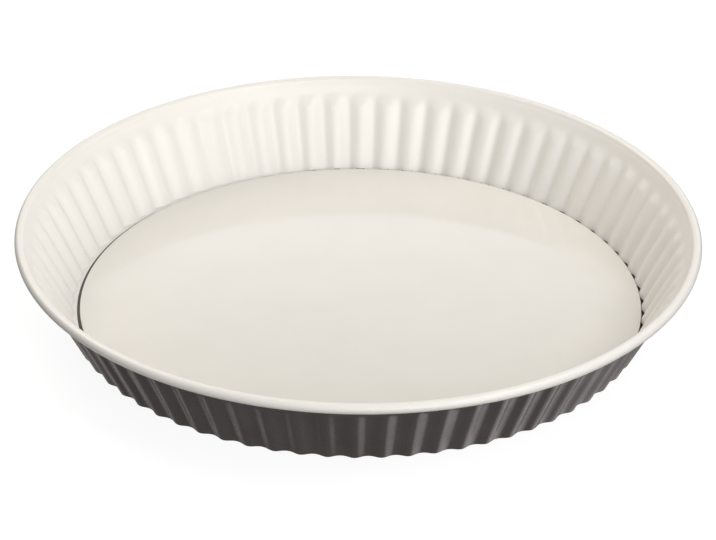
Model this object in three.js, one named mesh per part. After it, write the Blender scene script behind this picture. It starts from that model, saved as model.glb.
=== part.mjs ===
// Loose-bottom quiche pan: a fluted sheet-steel ring with a rolled rim, and a flat base disc that lifts out.
// Millimetres, +Z up. The origin is the middle of the circle that the ring stands on.
import * as THREE from 'three';

// Overall sizes of the ring
const RIM_DIAMETER = 290; // across the outside of the rolled rim
const PAN_HEIGHT = 38; // from the table to the top of the rolled rim
const FOOT_DIAMETER = 245.5; // where the line of the outward ridges meets the table
const SHEET = 0.6; // steel with both coats

// Rolled rim: the sheet curls outwards, down and back under itself, and stays open against the wall
const BEAD_DIAMETER = 4.4;
const CURL_SWEEP = THREE.MathUtils.degToRad(290);

// Flutes: pressed inwards from a plain cone, with narrow outward ridges and wide inward ones
const FLUTE_COUNT = 71;
const FLUTE_DEPTH = 1.4;
const RIDGE_SHARPNESS = 0.1; // 0 is a plain wave, more makes the outward ridges narrower
const BAND_WIDTH = 5; // smooth band under the rim, measured up the wall
const FADE_LENGTH = 6; // below the band, where the flutes run out
const FIRST_RIDGE_ANGLE = THREE.MathUtils.degToRad(-0.25); // from -Y, towards +X

// Foot: the wall bends in to a flat ledge that carries the base
const FOOT_BEND_RADIUS = 1.2; // outside of the bend
const LEDGE_WIDTH = 7; // from the inward ridges to the hole

// Base disc
const BASE_THICKNESS = 0.8;
const BASE_CLEARANCE = 1; // all round when centred, to the inward ridges at the ledge
const BASE_SHIFT = 0.9; // towards +X: the loose disc has slid to one side of its clearance
const BASE_EDGE_BREAK = 0.15; // small chamfer on both edges

// Facets
const STEPS_PER_FLUTE = 6;
const PLAIN_COLUMNS = 108; // columns of the smooth stretches
const FADE_STEPS = 2;
const CURL_STEPS = 8;
const BASE_COLUMNS = 144;

const bead = {
  radius: BEAD_DIAMETER / 2,
  r: (RIM_DIAMETER - BEAD_DIAMETER) / 2,
  z: PAN_HEIGHT - BEAD_DIAMETER / 2,
};
const footRadius = FOOT_DIAMETER / 2;

// The outer face of the wall is a line from the foot that touches the inside of the rolled rim.
const footToBead = Math.hypot(bead.r - footRadius, bead.z);
const wallLean = Math.atan2(bead.r - footRadius, bead.z) - Math.asin((bead.radius - SHEET) / footToBead);
const upWall = new THREE.Vector2(Math.sin(wallLean), Math.cos(wallLean));
const intoPan = new THREE.Vector2(-Math.cos(wallLean), Math.sin(wallLean));

// The bend between the ledge and the wall
const bendTurn = Math.PI / 2 - wallLean;
const bendStart = footRadius - FOOT_BEND_RADIUS * Math.tan(bendTurn / 2);
const bendCentre = new THREE.Vector2(bendStart, FOOT_BEND_RADIUS);

// The ledge and the base share this circle: the inward ridges where the ledge begins.
const seatRadius = bendStart - FLUTE_DEPTH;

// A station is one line round the sheet: its point on the outer face, its point on the inner face, and how
// much of the flute depth it has. Points are (radius, height) on an outward ridge.
function station(outer, inner, fluted) {
  return { outer, inner, fluted };
}

function ledgeStations() {
  const hole = seatRadius - LEDGE_WIDTH;
  return [
    station(new THREE.Vector2(hole, 0), new THREE.Vector2(hole, SHEET), 0),
    station(new THREE.Vector2(bendStart, 0), new THREE.Vector2(bendStart, SHEET), 1),
  ];
}

// A point of the wall's middle stretch, a distance below the start of the curl
function wallStation(belowCurl, fluted) {
  const centre = new THREE.Vector2(bead.r, bead.z);
  const outer = centre.clone().addScaledVector(intoPan, bead.radius - SHEET);
  outer.addScaledVector(upWall, -belowCurl);
  return station(outer, outer.clone().addScaledVector(intoPan, SHEET), fluted);
}

function wallStations() {
  const bendEnd = bendCentre.clone().addScaledVector(intoPan, -FOOT_BEND_RADIUS);
  const stations = [station(bendEnd, bendEnd.clone().addScaledVector(intoPan, SHEET), 1)];
  for (let step = 0; step <= FADE_STEPS; step += 1) {
    const faded = step / FADE_STEPS;
    const belowCurl = BAND_WIDTH + FADE_LENGTH * (1 - faded);
    stations.push(wallStation(belowCurl, 1 - THREE.MathUtils.smoothstep(faded, 0, 1)));
  }
  return stations;
}

function curlStations() {
  const stations = [];
  for (let step = 0; step <= CURL_STEPS; step += 1) {
    const turn = (CURL_SWEEP * step) / CURL_STEPS;
    const away = intoPan.clone().multiplyScalar(Math.cos(turn)).addScaledVector(upWall, Math.sin(turn));
    const centre = new THREE.Vector2(bead.r, bead.z);
    const outer = centre.clone().addScaledVector(away, bead.radius - SHEET);
    stations.push(station(outer, centre.addScaledVector(away, bead.radius), 0));
  }
  return stations;
}

// How far out the flute wave stands at an angle counted in flutes: 1 on an outward ridge, 0 on an inward one
function fluteWave(flutes) {
  const turn = 2 * Math.PI * flutes;
  const wave = Math.cos(turn) + RIDGE_SHARPNESS * Math.cos(2 * turn);
  return (wave + 1 - RIDGE_SHARPNESS) / 2;
}

// Adds a ring of points to the list and returns where it starts and how many it has.
function addRing(positions, point, fluted) {
  const count = fluted > 0 ? FLUTE_COUNT * STEPS_PER_FLUTE : PLAIN_COLUMNS;
  const first = positions.length / 3;
  for (let column = 0; column < count; column += 1) {
    const share = column / count;
    const angle = FIRST_RIDGE_ANGLE - Math.PI / 2 + 2 * Math.PI * share;
    const radius = point.x - FLUTE_DEPTH * fluted * (1 - fluteWave(FLUTE_COUNT * share));
    positions.push(radius * Math.cos(angle), radius * Math.sin(angle), point.y);
  }
  return { first, count };
}

// Triangles between two rings. Each step goes along the ring that lags, so the counts may differ.
function joinRings(indices, a, b) {
  let alongA = 0;
  let alongB = 0;
  while (alongA < a.count || alongB < b.count) {
    const pointA = a.first + (alongA % a.count);
    const pointB = b.first + (alongB % b.count);
    if ((alongA + 0.5) / a.count < (alongB + 0.5) / b.count) {
      alongA += 1;
      indices.push(pointA, a.first + (alongA % a.count), pointB);
    } else {
      alongB += 1;
      indices.push(pointA, b.first + (alongB % b.count), pointB);
    }
  }
}

// The ring's sheet: up its outer face to the edge of the curl, and back down its inner face to the hole
function flutedRingGeometry() {
  const stations = [...ledgeStations(), ...wallStations(), ...curlStations()];
  const positions = [];
  const outerRings = stations.map(({ outer, fluted }) => addRing(positions, outer, fluted));
  const innerRings = stations.map(({ inner, fluted }) => addRing(positions, inner, fluted));
  const loop = [...outerRings, ...innerRings.reverse()];
  const indices = [];
  loop.forEach((ring, place) => joinRings(indices, ring, loop[(place + 1) % loop.length]));
  const geometry = new THREE.BufferGeometry();
  geometry.setAttribute('position', new THREE.Float32BufferAttribute(positions, 3));
  geometry.setIndex(indices);
  geometry.computeVertexNormals();
  return geometry;
}

// The base lies on the ledge, face to face, a little off centre.
function baseGeometry() {
  const radius = seatRadius - BASE_CLEARANCE;
  const top = SHEET + BASE_THICKNESS;
  const profile = [
    new THREE.Vector2(0, SHEET),
    new THREE.Vector2(radius - BASE_EDGE_BREAK, SHEET),
    new THREE.Vector2(radius, SHEET + BASE_EDGE_BREAK),
    new THREE.Vector2(radius, top - BASE_EDGE_BREAK),
    new THREE.Vector2(radius - BASE_EDGE_BREAK, top),
    new THREE.Vector2(0, top),
  ];
  return new THREE.LatheGeometry(profile, BASE_COLUMNS).rotateX(Math.PI / 2).translate(BASE_SHIFT, 0, 0);
}

const ringCoat = new THREE.MeshStandardMaterial({ color: 0xefebe2, roughness: 0.35, metalness: 0 });
const baseCoat = new THREE.MeshStandardMaterial({ color: 0xe8e4dc, roughness: 0.3, metalness: 0 });

const flutedRing = new THREE.Mesh(flutedRingGeometry(), ringCoat);
flutedRing.name = 'fluted_ring';

const looseBase = new THREE.Mesh(baseGeometry(), baseCoat);
looseBase.name = 'loose_base';

const quichePan = new THREE.Group();
quichePan.add(flutedRing, looseBase);

export default quichePan;
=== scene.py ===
# %% [markdown]
# # A loose-bottom quiche pan
# The pan is two pressed pieces of coated steel sheet: a fluted ring with a rolled rim and a ledge at its
# foot, and a flat base disc that lies on the ledge. This lesson models both with Blender's own operators,
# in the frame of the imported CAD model: metres, with +Z up and the pan standing on Z = 0. The CAD solids
# stay as the collision shapes, and the finer pieces made here are shown in their place.

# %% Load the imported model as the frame
import math

import bmesh
import bpy
from mathutils import Matrix, Vector


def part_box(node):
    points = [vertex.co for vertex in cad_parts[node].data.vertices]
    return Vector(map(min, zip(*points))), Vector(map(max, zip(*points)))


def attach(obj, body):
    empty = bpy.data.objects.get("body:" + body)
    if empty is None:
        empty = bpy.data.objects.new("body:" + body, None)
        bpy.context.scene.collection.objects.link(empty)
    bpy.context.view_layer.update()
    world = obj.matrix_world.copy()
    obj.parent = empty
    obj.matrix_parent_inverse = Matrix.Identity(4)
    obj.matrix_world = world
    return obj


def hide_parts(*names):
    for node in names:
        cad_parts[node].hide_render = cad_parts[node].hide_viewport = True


MM = 0.001


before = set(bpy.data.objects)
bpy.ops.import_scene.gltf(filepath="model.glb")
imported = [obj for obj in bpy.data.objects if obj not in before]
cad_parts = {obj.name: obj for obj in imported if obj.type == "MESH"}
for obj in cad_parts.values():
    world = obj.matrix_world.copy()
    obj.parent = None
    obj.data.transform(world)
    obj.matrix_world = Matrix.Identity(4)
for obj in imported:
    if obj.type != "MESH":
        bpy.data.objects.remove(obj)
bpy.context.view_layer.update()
ring_low, ring_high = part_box("fluted_ring")
base_low, base_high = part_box("loose_base")

# %% [markdown]
# ## The section of the ring
# The overall sizes come from the frame. The rest are the few sizes that a toolmaker would put on the
# drawing: the sheet, the rolled rim, the flutes and the foot. The wall's lean isn't given. It follows from
# them, because the wall is the straight line from the foot that runs into the rolled rim without a kink.

# %% Sizes of the ring
SHEET = 0.6 * MM
RIM_RADIUS = ring_high.x
PAN_HEIGHT = ring_high.z
BEAD_RADIUS = 2.2 * MM
CURL_SWEEP = math.radians(290)
FOOT_RADIUS = 122.75 * MM
FOOT_BEND_RADIUS = 1.2 * MM
LEDGE_WIDTH = 6.75 * MM
FLUTE_COUNT = 71
FLUTE_DEPTH = 1.65 * MM
RIDGE_SHARPNESS = 0.1
BAND_WIDTH = 5 * MM
FADE_LENGTH = 6 * MM
FIRST_RIDGE_ANGLE = math.radians(-90.25)
print("the ring has", FLUTE_COUNT, "flutes, and its rim is", round(2 * RIM_RADIUS / MM, 2), "mm across")

# %% Work out the wall's lean and the foot bend
bead_r = RIM_RADIUS - BEAD_RADIUS
bead_z = PAN_HEIGHT - BEAD_RADIUS
foot_to_bead = math.hypot(bead_r - FOOT_RADIUS, bead_z)
wall_lean = math.atan2(bead_r - FOOT_RADIUS, bead_z) - math.asin((BEAD_RADIUS - SHEET) / foot_to_bead)
bend_turn = math.pi / 2 - wall_lean
bend_start = FOOT_RADIUS - FOOT_BEND_RADIUS * math.tan(bend_turn / 2)
seat_radius = bend_start - FLUTE_DEPTH
hole_radius = seat_radius - LEDGE_WIDTH
up_wall = Vector((math.sin(wall_lean), math.cos(wall_lean)))
into_pan = Vector((-math.cos(wall_lean), math.sin(wall_lean)))
curl_start = Vector((bead_r, bead_z)) + BEAD_RADIUS * into_pan
wall_foot = Vector((bend_start, FOOT_BEND_RADIUS)) - (FOOT_BEND_RADIUS - SHEET) * into_pan
wall_length = (curl_start - wall_foot).length
print("the wall leans", round(math.degrees(wall_lean), 2), "degrees")
print("the wall is", round(wall_length / MM, 2), "mm long")

# %% [markdown]
# ## Drawing the sheet's inner face
# A pressed sheet is easiest to make as one face with a thickness added later. It could be a ring of loops
# extruded all round at once, but all flutes are the same, so only one is made and then copied round. It
# starts as a single point at the edge of the ledge's hole. The point is extruded out along the ledge and up
# the wall. The foot bend and the rolled rim are true arcs, so there the point is spun.

# %% Helpers to start a piece and to draw the section
def start_piece(name, add_primitive, **settings):
    bpy.ops.object.select_all(action="DESELECT")
    add_primitive(**settings)
    piece = bpy.context.object
    piece.name = name
    piece.data.name = name
    bpy.ops.object.transform_apply(location=True, rotation=True, scale=True)
    bpy.ops.object.mode_set(mode="EDIT")
    return piece


def section_vector(r, z):
    return Vector((r * math.cos(FIRST_RIDGE_ANGLE), r * math.sin(FIRST_RIDGE_ANGLE), z))


def extrude_along(r, z):
    bpy.ops.mesh.extrude_vertices_move(TRANSFORM_OT_translate={"value": section_vector(r, z)})


def spin_section(r, z, angle, steps):
    across = Vector((-math.sin(FIRST_RIDGE_ANGLE), math.cos(FIRST_RIDGE_ANGLE), 0))
    bpy.ops.mesh.spin(steps=steps, angle=angle, center=section_vector(r, z), axis=across)


def print_tip(piece, stretch):
    tip = next(vertex.co for vertex in bmesh.from_edit_mesh(piece.data).verts if vertex.select)
    print(stretch, "ends at r, z =", round(tip.xy.length / MM, 3), round(tip.z / MM, 3), "mm")


# %% Draw the ledge and the foot bend
BEND_STEPS = 5
LEDGE_EDGE = 3 * MM
SEAT_MARGIN = 1 * MM
ring = start_piece(
    "fluted_pan_ring",
    bpy.ops.mesh.primitive_plane_add,
    size=MM,
    location=section_vector(hole_radius, SHEET),
)
bpy.ops.mesh.merge(type="CENTER")
ledge_run = [LEDGE_EDGE, LEDGE_WIDTH - LEDGE_EDGE - SEAT_MARGIN]
ledge_run.append(bend_start - hole_radius - sum(ledge_run))
for step in ledge_run:
    extrude_along(step, 0)
spin_section(bend_start, FOOT_BEND_RADIUS, bend_turn, BEND_STEPS)
print_tip(ring, "the foot bend")

# %% [markdown]
# ### The wall and the rolled rim
# The wall is straight in section, and its rows only have to be close where the flutes will fade out. A
# faint crease marks where the real sheet leaves the wall for the roll. It could be a bevelled edge later,
# but two short extrusions, out and back, draw it at once. The roll itself is one spin, and it stops before
# it meets the wall.

# %% Draw the wall, the smooth band and the rolled rim
WALL_STEPS = 4
FADE_STEPS = 8
BAND_STEPS = 2
CURL_STEPS = 20
CREASE_WIDTH = 0.35 * MM
CREASE_DEPTH = 0.1 * MM
fluted_length = wall_length - BAND_WIDTH - FADE_LENGTH
plain_band = BAND_WIDTH - 2 * CREASE_WIDTH
wall_run = [fluted_length / WALL_STEPS] * WALL_STEPS
wall_run += [FADE_LENGTH / FADE_STEPS] * FADE_STEPS
wall_run += [plain_band / BAND_STEPS] * BAND_STEPS
for step in wall_run:
    extrude_along(*(step * up_wall))
extrude_along(*(CREASE_WIDTH * up_wall - CREASE_DEPTH * into_pan))
extrude_along(*(CREASE_WIDTH * up_wall + CREASE_DEPTH * into_pan))
spin_section(bead_r, bead_z, -CURL_SWEEP, CURL_STEPS)
print_tip(ring, "the rolled rim")

# %% [markdown]
# ## Pressing one flute
# On the real pan a die presses the flutes into a plain cone. The same is done here: the section is spun
# through one flute's share of the circle, and each column of points is then pushed in towards the axis. A
# column on an outward ridge stays, one on an inward ridge goes in by the whole depth, and those between
# follow a soft wave. The push is shallowest at the foot, where the base needs its clearance, and grows up
# the wall. Above the fluted stretch it fades out row by row, so the flutes run into the smooth band.

# %% Spin the section through one flute
COLUMNS = 12
flute_angle = 2 * math.pi / FLUTE_COUNT
bpy.ops.mesh.select_all(action="SELECT")
bpy.ops.mesh.spin(steps=COLUMNS, angle=flute_angle, center=(0, 0, 0), axis=(0, 0, 1))
print("one flute's share has", len(bmesh.from_edit_mesh(ring.data).verts), "points")

# %% Say how far each point is pushed
TOLERANCE = 0.01 * MM
DEEPENING = 0.19
DEEPENING_LENGTH = 12 * MM


def clamp(share):
    return min(max(share, 0), 1)


def push_share(vertex):
    r = vertex.co.xy.length
    if r > curl_start.x - TOLERANCE or r < seat_radius - SEAT_MARGIN / 2:
        return 0
    below = (curl_start - Vector((r, vertex.co.z))).dot(up_wall)
    faded = clamp((below - BAND_WIDTH) / FADE_LENGTH)
    up_the_wall = clamp((wall_length - below) / DEEPENING_LENGTH)
    return faded * faded * (3 - 2 * faded) * (1 + DEEPENING * up_the_wall)


def inward_share(column):
    turn = 2 * math.pi * column / COLUMNS
    return 1 - (math.cos(turn) + RIDGE_SHARPNESS * math.cos(2 * turn) + 1 - RIDGE_SHARPNESS) / 2


def column_of(vertex):
    turned = math.atan2(vertex.co.y, vertex.co.x) - FIRST_RIDGE_ANGLE
    return round(turned / flute_angle * COLUMNS) % COLUMNS


print("an inward ridge is pushed", round(FLUTE_DEPTH * inward_share(COLUMNS / 2) / MM, 2), "mm at the foot")

# %% Push the columns in
SHARE_DIGITS = 4
groups = {}
for vertex in bmesh.from_edit_mesh(ring.data).verts:
    column, share = column_of(vertex), round(push_share(vertex), SHARE_DIGITS)
    if column and share:
        groups.setdefault((column, share), []).append(vertex.index)
for (column, share), members in groups.items():
    bpy.ops.mesh.select_all(action="DESELECT")
    flute_mesh = bmesh.from_edit_mesh(ring.data)
    flute_mesh.verts.ensure_lookup_table()
    for index in members:
        flute_mesh.verts[index].select_set(True)
    flute_mesh.select_flush_mode()
    inwards = -flute_mesh.verts[members[0]].co.xy.normalized()
    push = FLUTE_DEPTH * share * inward_share(column)
    bpy.ops.transform.translate(value=(push * inwards.x, push * inwards.y, 0))
deepest = max(share for _, share in groups) * FLUTE_DEPTH
print("pressed", len(groups), "groups of points, the deepest by", round(deepest / MM, 2), "mm")

# %% [markdown]
# ## Copying the flute round the ring
# Spin can also copy instead of extruding. It sets 70 more flutes round the axis, and their shared borders
# are merged. After that the normals are made to agree, and they have to look into the pan, because the next
# step thickens the sheet away from them.

# %% Copy the flute and close the ring
copied_turn = 2 * math.pi - flute_angle
bpy.ops.mesh.select_all(action="SELECT")
bpy.ops.mesh.spin(
    steps=FLUTE_COUNT - 1, dupli=True, angle=copied_turn, center=(0, 0, 0), axis=(0, 0, 1)
)
bpy.ops.mesh.select_all(action="SELECT")
bpy.ops.mesh.remove_doubles(threshold=TOLERANCE)
bpy.ops.mesh.normals_make_consistent(inside=False)
ring_mesh = bmesh.from_edit_mesh(ring.data)
ledge_face = min(ring_mesh.faces, key=lambda face: face.calc_center_median().xy.length)
if ledge_face.normal.z < 0:
    bpy.ops.mesh.flip_normals()
bpy.ops.object.mode_set(mode="OBJECT")
print("the inner face has", len(ring.data.polygons), "faces")

# %% [markdown]
# ## The sheet's thickness and its two coats
# The inside of the pan and the rolled rim are cream, the outside and the underside are dark. Both are coats
# on the same sheet, so the Solidify modifier makes them: it copies the inner face outwards by the sheet's
# thickness and gives the copy the next material slot, and the cut edges between them the third one.

# %% Thicken the sheet
INSIDE, OUTSIDE, CUT_EDGE = range(3)


def give_coat_slots(piece, inside_coat):
    for name in (inside_coat, "dark_coat", "cut_steel"):
        material = bpy.data.materials.get(name) or bpy.data.materials.new(name)
        piece.data.materials.append(material)


def thicken_sheet(piece, thickness):
    bpy.ops.object.modifier_add(type="SOLIDIFY")
    sheet = piece.modifiers[-1]
    sheet.thickness = thickness
    sheet.offset = -1
    sheet.use_even_offset = True
    sheet.material_offset = OUTSIDE
    sheet.material_offset_rim = CUT_EDGE
    bpy.ops.object.modifier_apply(modifier=sheet.name)


give_coat_slots(ring, "cream_coat")
thicken_sheet(ring, SHEET)
print("the sheet has", len(ring.data.polygons), "faces")

# %% [markdown]
# ### Broken edges
# The sheet is cut at the hole and at the end of the curl, and deburring leaves such edges a little broken.
# A Bevel modifier would also round the flutes, so only the borders of the cut faces are selected and
# bevelled. Smooth shading by angle then keeps these edges crisp and the flutes soft.

# %% Break the cut edges
EDGE_BREAK = 0.12 * MM
EDGE_BREAK_STEPS = 2
SMOOTH_ANGLE = math.radians(40)


def break_cut_edges(piece, size, segments):
    bpy.ops.object.mode_set(mode="EDIT")
    bpy.ops.mesh.select_mode(type="FACE")
    bpy.ops.mesh.select_all(action="DESELECT")
    mesh = bmesh.from_edit_mesh(piece.data)
    for face in mesh.faces:
        face.select_set(face.material_index == CUT_EDGE)
    bmesh.update_edit_mesh(piece.data)
    bpy.ops.mesh.region_to_loop()
    bpy.ops.mesh.bevel(offset=size, segments=segments, affect="EDGES")
    bpy.ops.object.mode_set(mode="OBJECT")
    bpy.ops.object.shade_smooth_by_angle(angle=SMOOTH_ANGLE)


break_cut_edges(ring, EDGE_BREAK, EDGE_BREAK_STEPS)
ring.data.calc_loop_triangles()
print("the ring has", len(ring.data.loop_triangles), "triangles")

# %% [markdown]
# ## The base disc
# The loose base is a disc blanked from sheet: flat, with its edge rounded over by the press and the coat.
# It starts as a cylinder, a hair larger than its CAD node and slid a little further towards +X, as the
# photograph shows it. Insets give the two round faces rings of points, and the edge is bevelled.

# %% Start the base disc as a cylinder
BASE_COLUMNS = 288
BASE_GROWTH = 0.3 * MM
BASE_SLIDE = Vector((0.4 * MM, 0, 0))
base_radius = (base_high.x - base_low.x) / 2 + BASE_GROWTH
base_middle = (base_low + base_high) / 2 + BASE_SLIDE
base_thickness = base_high.z - base_low.z
base = start_piece(
    "loose_base_disc",
    bpy.ops.mesh.primitive_cylinder_add,
    vertices=BASE_COLUMNS,
    radius=base_radius,
    depth=base_thickness,
    location=base_middle,
)
give_coat_slots(base, "base_cream")
print("the base disc is", round(2 * base_radius / MM, 2), "mm across")

# %% Ring its faces with points and round its edge
LEVEL_FACE = 0.5
BASE_INSETS = (1.5 * MM, 20 * MM, 40 * MM, 30 * MM)
BASE_EDGE_ROUNDING = 0.25 * MM
BASE_EDGE_STEPS = 3
bpy.ops.mesh.select_mode(type="FACE")
base_mesh = bmesh.from_edit_mesh(base.data)
for face in base_mesh.faces:
    is_level = abs(face.normal.z) > LEVEL_FACE
    level_coat = INSIDE if face.normal.z > 0 else OUTSIDE
    face.material_index = level_coat if is_level else CUT_EDGE
    face.select_set(is_level)
bmesh.update_edit_mesh(base.data)
for inset in BASE_INSETS:
    bpy.ops.mesh.inset(thickness=inset)
bpy.ops.mesh.poke()
break_cut_edges(base, BASE_EDGE_ROUNDING, BASE_EDGE_STEPS)
print("the base disc has", len(base.data.polygons), "faces")

# %% [markdown]
# ### The lean
# A loose base seldom lies quite flat. This one has slid until its right edge climbed the foot of the wall
# by a millimetre. An empty could tilt the finished disc as its parent, but finished pieces stay unturned
# here, so the points themselves are turned in edit mode. They turn round the left edge, which stays down on
# the ledge.

# %% Lean the base against the foot of the wall
BASE_LEAN = math.radians(0.26)
left_edge = Vector((base_middle.x - base_radius, 0, base_low.z))
bpy.ops.object.mode_set(mode="EDIT")
bpy.ops.mesh.select_all(action="SELECT")
bpy.ops.transform.rotate(value=BASE_LEAN, orient_axis="Y", center_override=left_edge)
bpy.ops.object.mode_set(mode="OBJECT")
heights = [vertex.co.z / MM for vertex in base.data.vertices]
print("the base lies between", round(min(heights), 2), "and", round(max(heights), 2), "mm above the table")

# %% [markdown]
# ## Finishes
# Everything that shows is a coat on steel: cream inside and over the rolled rim, dark grey-brown outside
# and underneath, and a little bare metal on the cut edges. Pictures of such coats could be wrapped round
# the pan, but each would need an unwrapped mesh. Noise that is worked out in Object coordinates needs none,
# has no seam, and stays on the metal when the base is lifted out. The helpers below each add one node and
# hand back its output.

# %% Helpers that add nodes to a material
def clear_nodes(name):
    material = bpy.data.materials[name]
    material.use_nodes = True
    nodes = material.node_tree.nodes
    nodes.clear()
    output = nodes.new("ShaderNodeOutputMaterial")
    shader = nodes.new("ShaderNodeBsdfPrincipled")
    material.node_tree.links.new(shader.outputs["BSDF"], output.inputs["Surface"])
    return material.node_tree, shader


def object_place(tree):
    return tree.nodes.new("ShaderNodeTexCoord").outputs["Object"]


def noise(tree, scale, detail):
    node = tree.nodes.new("ShaderNodeTexNoise")
    node.inputs["Scale"].default_value = scale
    node.inputs["Detail"].default_value = detail
    tree.links.new(object_place(tree), node.inputs["Vector"])
    return node.outputs["Fac"]


def ramp(tree, source, stops):
    node = tree.nodes.new("ShaderNodeValToRGB")
    while len(node.color_ramp.elements) < len(stops):
        node.color_ramp.elements.new(0.5)
    for element, (position, colour) in zip(node.color_ramp.elements, stops):
        element.position = position
        element.color = (*colour, 1)
    tree.links.new(source, node.inputs["Fac"])
    return node.outputs["Color"]


def map_range(tree, source, start, end, low=0, high=1, curve="LINEAR"):
    node = tree.nodes.new("ShaderNodeMapRange")
    node.interpolation_type = curve
    node.inputs["From Min"].default_value = start
    node.inputs["From Max"].default_value = end
    node.inputs["To Min"].default_value = low
    node.inputs["To Max"].default_value = high
    tree.links.new(source, node.inputs["Value"])
    return node.outputs["Result"]


def bump(tree, shader, height, strength, distance):
    node = tree.nodes.new("ShaderNodeBump")
    node.inputs["Strength"].default_value = strength
    node.inputs["Distance"].default_value = distance
    tree.links.new(height, node.inputs["Height"])
    tree.links.new(node.outputs["Normal"], shader.inputs["Normal"])


# %% [markdown]
# ### A sprayed and baked coat
# A coat that was sprayed on and baked is never quite even. Its colour varies over a few centimetres,
# handling and washing leave it glossier in some places than in others, and close up it has the fine dimples
# of orange peel. One recipe with a noise of its own size for each of the three makes all the finishes here.
# The base disc is the glossiest, so that it mirrors the wall behind it, and the dark coat mirrors a little
# less than paint usually does.

# %% Write the recipe for a coat
MOTTLING = {"scale": 45, "detail": 4}
RUBBING = {"scale": 160, "detail": 3}
PEEL = {"scale": 900, "detail": 2}
PEEL_HEIGHT = 0.02 * MM
NOISE_LOW, NOISE_HIGH = 0.3, 0.7


def coat(name, colours, roughness, peel):
    tree, shader = clear_nodes(name)
    mottling = ramp(tree, noise(tree, **MOTTLING), list(zip((NOISE_LOW, NOISE_HIGH), colours)))
    tree.links.new(mottling, shader.inputs["Base Color"])
    rubbing = map_range(tree, noise(tree, **RUBBING), NOISE_LOW, NOISE_HIGH, *roughness)
    tree.links.new(rubbing, shader.inputs["Roughness"])
    bump(tree, shader, noise(tree, **PEEL), peel, PEEL_HEIGHT)
    print(name, "has roughness", roughness[0], "to", roughness[1])
    return tree, shader


# %% Mix the coats
DARK_COAT_IOR = 1.32
cream = coat(
    "cream_coat",
    colours=((0.885, 0.855, 0.80), (0.895, 0.865, 0.81)),
    roughness=(0.3, 0.36),
    peel=0.03,
)
coat(
    "base_cream",
    colours=((0.825, 0.795, 0.735), (0.845, 0.815, 0.755)),
    roughness=(0.05, 0.075),
    peel=0.03,
)
dark = coat(
    "dark_coat",
    colours=((0.074, 0.061, 0.060), (0.087, 0.072, 0.071)),
    roughness=(0.25, 0.31),
    peel=0.06,
)
steel = coat(
    "cut_steel",
    colours=((0.42, 0.41, 0.39), (0.56, 0.55, 0.53)),
    roughness=(0.35, 0.5),
    peel=0.2,
)
dark[1].inputs["IOR"].default_value = DARK_COAT_IOR
steel[1].inputs["Metallic"].default_value = 1

# %% [markdown]
# ### Worn places and painted shade
# The coats change tone in three places, and each of them runs in a circle: real wear pales the foot, and
# painted shade darkens the gap round the base and the underside of the rolled rim. Painting masks by hand
# would work, but a point's distance from an axis and its height say just as well where each tone lies. The
# helpers measure both, turn them into masks, and mix a tone into a coat.

# %% Helpers for masks
def radius_and_height(tree, shift=(0, 0, 0)):
    centred = tree.nodes.new("ShaderNodeMapping")
    centred.inputs["Location"].default_value = -Vector(shift)
    tree.links.new(object_place(tree), centred.inputs["Vector"])
    place = tree.nodes.new("ShaderNodeSeparateXYZ")
    tree.links.new(centred.outputs["Vector"], place.inputs["Vector"])
    level = tree.nodes.new("ShaderNodeCombineXYZ")
    tree.links.new(place.outputs["X"], level.inputs["X"])
    tree.links.new(place.outputs["Y"], level.inputs["Y"])
    from_axis = tree.nodes.new("ShaderNodeVectorMath")
    from_axis.operation = "LENGTH"
    tree.links.new(level.outputs["Vector"], from_axis.inputs[0])
    return from_axis.outputs["Value"], place.outputs["Z"]


def rise_between(tree, source, start, end):
    return map_range(tree, source, start, end, curve="SMOOTHSTEP")


def both(tree, first, second):
    node = tree.nodes.new("ShaderNodeMath")
    node.operation = "MULTIPLY"
    tree.links.new(first, node.inputs[0])
    tree.links.new(second, node.inputs[1])
    return node.outputs["Value"]


# Mixes a tone into a coat's colour: real wear on the foot, painted shade round the base and under the rolled
# rim.
def mix_wear_and_shade(finish, amount, tone):
    tree, shader = finish
    coated = shader.inputs["Base Color"].links[0].from_socket
    mix = tree.nodes.new("ShaderNodeMix")
    mix.data_type = "RGBA"
    mix.inputs["B"].default_value = (*tone, 1)
    tree.links.new(amount, mix.inputs["Factor"])
    tree.links.new(coated, mix.inputs["A"])
    tree.links.new(mix.outputs["Result"], shader.inputs["Base Color"])


# %% [markdown]
# ### Painted shade round the base
# The narrow gap between the loose base and the wall lies in deep shade, and a dark tone in the cream coat
# paints that shade on the ledge and the foot of the wall. A separate dark ring would be simpler, but it
# would show as a piece of its own. The mask keeps to a ring of the coat: it starts under the base, ends a
# little past its edge, and stays low on the wall. The base has slid towards +X, so the axis of the shade is
# shifted too, and on that side only the hollows between the flutes still show it, as dots.

# %% Paint shade on the ledge and the foot of the wall
GAP_SHADE_SHIFT = Vector((base_middle.x + 0.5 * MM, -0.3 * MM, 0))
GAP_SHADE_START = base_radius - 2 * MM
GAP_SHADE_START_FADE = 1 * MM
GAP_SHADE_REACH = base_radius + 1.75 * MM
GAP_SHADE_HEIGHT = base_low.z + 0.75 * MM
GAP_SHADE_SOFTNESS = 0.15 * MM
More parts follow.
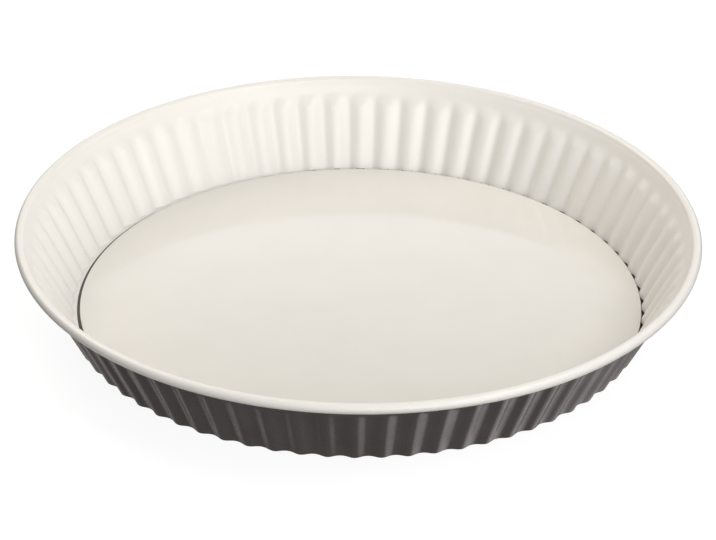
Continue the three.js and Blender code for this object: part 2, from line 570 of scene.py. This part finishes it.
# Painted shade: this dark tone stands in for the shade in the gap between the base and the wall.
PAINTED_GAP_SHADE_TONE = (0.055, 0.042, 0.031)
tree = cream[0]
from_gap_shade_axis, above_table = radius_and_height(tree, GAP_SHADE_SHIFT)
past_start = rise_between(tree, from_gap_shade_axis, GAP_SHADE_START, GAP_SHADE_START + GAP_SHADE_START_FADE)
in_reach = rise_between(tree, from_gap_shade_axis, GAP_SHADE_REACH + GAP_SHADE_SOFTNESS, GAP_SHADE_REACH - GAP_SHADE_SOFTNESS)
low_enough = rise_between(tree, above_table, GAP_SHADE_HEIGHT + GAP_SHADE_SOFTNESS, GAP_SHADE_HEIGHT - GAP_SHADE_SOFTNESS)
mix_wear_and_shade(cream, both(tree, both(tree, in_reach, past_start), low_enough), PAINTED_GAP_SHADE_TONE)
# Prints how far the axis of the painted shade lies towards +X.
print("the rubbed line lies", round(GAP_SHADE_SHIFT.x / MM, 2), "mm towards +X")

# %% [markdown]
# ### Painted shade under the rolled rim
# The outside of the rolled rim turns down, away from the lamps above, and a darker tone in the cream coat
# paints the shade that falls there. A third coat with a slot of its own would end at a hard line. Instead
# one mask picks the curl by its distance from the axis, and a ramp over the height says how dark the
# painted shade gets.

# %% Paint shade down the rolled rim
# Painted shade: the ramp and the tone darken the underside of the rolled rim.
CURL_SHADE_RAMP = ((0, 0), (0.25, 0.08), (0.45, 0.14), (0.68, 0.16), (1, 0.18))
PAINTED_CURL_SHADE_TONE = (0.12, 0.09, 0.06)
CURL_MASK_START = bead_r - 0.8 * BEAD_RADIUS
CURL_MASK_END = bead_r - 0.4 * BEAD_RADIUS
from_axis, above_table = radius_and_height(tree)
on_the_curl = rise_between(tree, from_axis, CURL_MASK_START, CURL_MASK_END)
down_the_curl = map_range(tree, above_table, PAN_HEIGHT, PAN_HEIGHT - 2 * BEAD_RADIUS)
curl_shade = ramp(tree, down_the_curl, [(way_down, (share,) * 3) for way_down, share in CURL_SHADE_RAMP])
mix_wear_and_shade(cream, both(tree, on_the_curl, curl_shade), PAINTED_CURL_SHADE_TONE)
# Prints how dark the painted shade gets at the bottom of the curl.
print("the coat loses", CURL_SHADE_RAMP[-1][1], "of its cover under the curl")

# %% [markdown]
# ### The scuffed foot
# The foot slides over oven shelves, and the dark coat goes pale there. Scratches could be modelled one by
# one, but they are too fine to see. A mask for the lowest half millimetre, broken up by noise, gives the
# same pale patches.

# %% Scuff the foot
SCUFF_HEIGHT = 0.5 * MM
SCUFF_LOW, SCUFF_HIGH = 0.45, 0.65
SCUFF_TONE = (0.12, 0.105, 0.1)
tree = dark[0]
_, above_table = radius_and_height(tree)
low_down = map_range(tree, above_table, SCUFF_HEIGHT, 0)
patchy = map_range(tree, noise(tree, **RUBBING), SCUFF_LOW, SCUFF_HIGH)
mix_wear_and_shade(dark, both(tree, low_down, patchy), SCUFF_TONE)
print("scuffs reach", SCUFF_HEIGHT / MM, "mm up the foot")

# %% [markdown]
# ## The floor
# The pan stands on a plain white sheet, as in a catalogue picture. A floor lit only by lamps turns grey
# where the pan shades it, so this one also glows softly and keeps only a faint shadow. The glow isn't meant
# to light the pan, so the floor is hidden from its diffuse and glossy rays. What the pan mirrors from below
# is set up with the lights instead. A hair's breadth lies between the floor and the foot, so that no two
# faces share a plane.

# %% Lay the floor
FLOOR_SIZE = 40
FLOOR_GAP = 0.02 * MM
FLOOR_COLOUR = (0.16, 0.16, 0.16, 1)
FLOOR_ROUGHNESS = 0.9
FLOOR_GLOW = 0.9
WHITE = (1, 1, 1, 1)
bpy.ops.object.select_all(action="DESELECT")
bpy.ops.mesh.primitive_plane_add(size=FLOOR_SIZE, location=(0, 0, -FLOOR_GAP))
floor = bpy.context.object
floor.name = "floor"
floor.data.materials.append(bpy.data.materials.new("pale_floor"))
_, floor_shader = clear_nodes("pale_floor")
floor_shader.inputs["Base Color"].default_value = FLOOR_COLOUR
floor_shader.inputs["Roughness"].default_value = FLOOR_ROUGHNESS
floor_shader.inputs["Emission Color"].default_value = WHITE
floor_shader.inputs["Emission Strength"].default_value = FLOOR_GLOW
floor.visible_diffuse = False
floor.visible_glossy = False
print("the floor is", floor.dimensions.x, "m wide")

# %% [markdown]
# ## Lights
# Big soft lamps stand in a ring: in front and a little to the right, low in front for the underside of the
# rolled rim, high on the right, and two behind. One big dome would be simpler, but it would leave the
# flutes flat. A lamp is an area light that is turned to face the pan, and the camera doesn't see it.

# %% Helpers for lamps
ROUND_DISTANCE = 1.7
PAN_MIDDLE = (0, 0, 0.02)
NEUTRAL_TINT = (1, 1, 1)


def soft_lamp(name, place, size, power, aim=PAN_MIDDLE, tint=NEUTRAL_TINT):
    away = Vector(place) - Vector(aim)
    facing = away.to_track_quat("Z", "Y").to_euler()
    bpy.ops.object.select_all(action="DESELECT")
    bpy.ops.object.light_add(type="AREA", location=place, rotation=facing)
    lamp = bpy.context.object
    lamp.name = name
    lamp.data.shape = "RECTANGLE"
    lamp.data.size, lamp.data.size_y = size
    lamp.data.energy = power
    lamp.data.color = tint
    lamp.visible_camera = False
    print(name, "gives", round(power, 2), "W")


def round_the_pan(azimuth, rise):
    a, e = math.radians(azimuth), math.radians(rise)
    flat = ROUND_DISTANCE * math.cos(e)
    return (flat * math.sin(a), -flat * math.cos(a), ROUND_DISTANCE * math.sin(e))


# %% Set the lamps round the pan
WARM_WHITE = (1, 0.94, 0.875)
soft_lamp("front_softbox", round_the_pan(azimuth=16, rise=25), size=(1.8, 0.9), power=10.9)
soft_lamp("low_front", round_the_pan(azimuth=25, rise=8), size=(1.2, 0.44), power=7.4)
soft_lamp("high_key", round_the_pan(azimuth=62, rise=50), size=(0.9, 0.7), power=8.8)
soft_lamp("back_right", round_the_pan(azimuth=125, rise=45), size=(0.9, 0.9), power=2.2)
soft_lamp("back_left", round_the_pan(azimuth=-140, rise=45), size=(0.9, 0.9), power=11.3, tint=WARM_WHITE)

# %% [markdown]
# ### What the pan mirrors
# The base disc mirrors a bright backdrop. That is four sheets of light on the same foot, each a little
# taller than the last, so it fades out upwards and the disc darkens softly towards the front. The wall
# leans out, so everything that its dark outside mirrors lies below the table. On a white sheet it would be
# an even grey. Two soft cards under the floor, to the right and to the left, draw the thin bright lines
# along the flutes, and the dark between them leaves the rest deep.

# %% Hang the backdrop
BACKDROP_FOOT = Vector((0, 0.906, 0.129))
BACKDROP_UP = Vector((0, -0.313, 0.95))
BACKDROP_WIDTH = 1.3
BACKDROP_HEIGHTS = (0.32, 0.35, 0.38, 0.41)
BACKDROP_POWER = 1.2
for height in BACKDROP_HEIGHTS:
    middle = BACKDROP_FOOT + height / 2 * BACKDROP_UP
    soft_lamp(f"backdrop_{height}", middle, (BACKDROP_WIDTH, height), BACKDROP_POWER * height)

# %% Lay the cards under the floor
CARD_DEPTH = 1.5
CARD_SIZE = (0.6, 1.5)
CARD_TINT = (1, 0.94, 0.93)


def low_card(name, x, y, power):
    soft_lamp(name, (x, y, -CARD_DEPTH), CARD_SIZE, power, aim=(x, y, 0), tint=CARD_TINT)


low_card("low_right_card", x=0.8, y=0.45, power=3.3)
low_card("low_left_card", x=-1.15, y=0.85, power=2.3)

# %% [markdown]
# ### The room
# The walls and the ceiling of a white studio send a little light back from all sides. A room could be built
# round the pan, but a dim white world does the same without a mesh. The Standard view transform then shows
# the colours as they are, with a white floor that stays white.

# %% Set the room's light
ROOM_LIGHT = 0.23
world = bpy.data.worlds.new("studio")
bpy.context.scene.world = world
world.use_nodes = True
background = world.node_tree.nodes["Background"]
background.inputs["Color"].default_value = WHITE
background.inputs["Strength"].default_value = ROOM_LIGHT
bpy.context.scene.view_settings.view_transform = "Standard"
print("the room's own light is", ROOM_LIGHT)

# %% [markdown]
# ## The camera
# The camera could be moved by eye until the picture looks right. Here it was measured: the rim's outline,
# the rolled rim and the foot in the photograph are circles of known size, and they fix where the camera
# stood, how far it looked down, its slight roll and how long its lens is. It stands far off with a long
# lens, so the front and the back of the rim keep nearly the same scale.

# %% Stand the camera where the photograph was taken
CAMERA_DISTANCE = 1.4
CAMERA_RISE = math.radians(29.56)
CAMERA_ROLL = 0.0118
AIM_HEIGHT = 16.31 * MM
FOCAL_PIXELS = 3285.4
IMAGE_WIDTH = 716
SENSOR_WIDTH = 36
level_up = Vector((0, math.sin(CAMERA_RISE), math.cos(CAMERA_RISE)))
level_right = Vector((1, 0, 0))
right = math.cos(CAMERA_ROLL) * level_right + math.sin(CAMERA_ROLL) * level_up
up = -math.sin(CAMERA_ROLL) * level_right + math.cos(CAMERA_ROLL) * level_up
back = right.cross(up)
stand = Vector((0, 0, AIM_HEIGHT)) + CAMERA_DISTANCE * back
turn = Matrix((right, up, back)).transposed().to_euler()
bpy.ops.object.select_all(action="DESELECT")
bpy.ops.object.camera_add(location=stand, rotation=turn)
camera = bpy.context.object
camera.name = "photo_camera"
camera.data.sensor_width = SENSOR_WIDTH
camera.data.lens = FOCAL_PIXELS * SENSOR_WIDTH / IMAGE_WIDTH
bpy.context.scene.camera = camera
print("the camera stands at", [round(value, 4) for value in stand])
print("its lens is", round(camera.data.lens, 1), "mm long")

# %% [markdown]
# ## On to the frame
# Each new piece rides on the body that moves it and is shown in place of one CAD node, which is hidden. The
# ring's body stays, and the base's body slides up when the base is lifted out.

# %% Put the pieces on the frame
for piece, body, node, slot in (
    (ring, "ring", "fluted_ring", "ring_coat"),
    (base, "base", "loose_base", "base_coat"),
):
    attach(piece, body)
    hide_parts(node)
    print(piece.name, "rides on", body, "in place of", node)
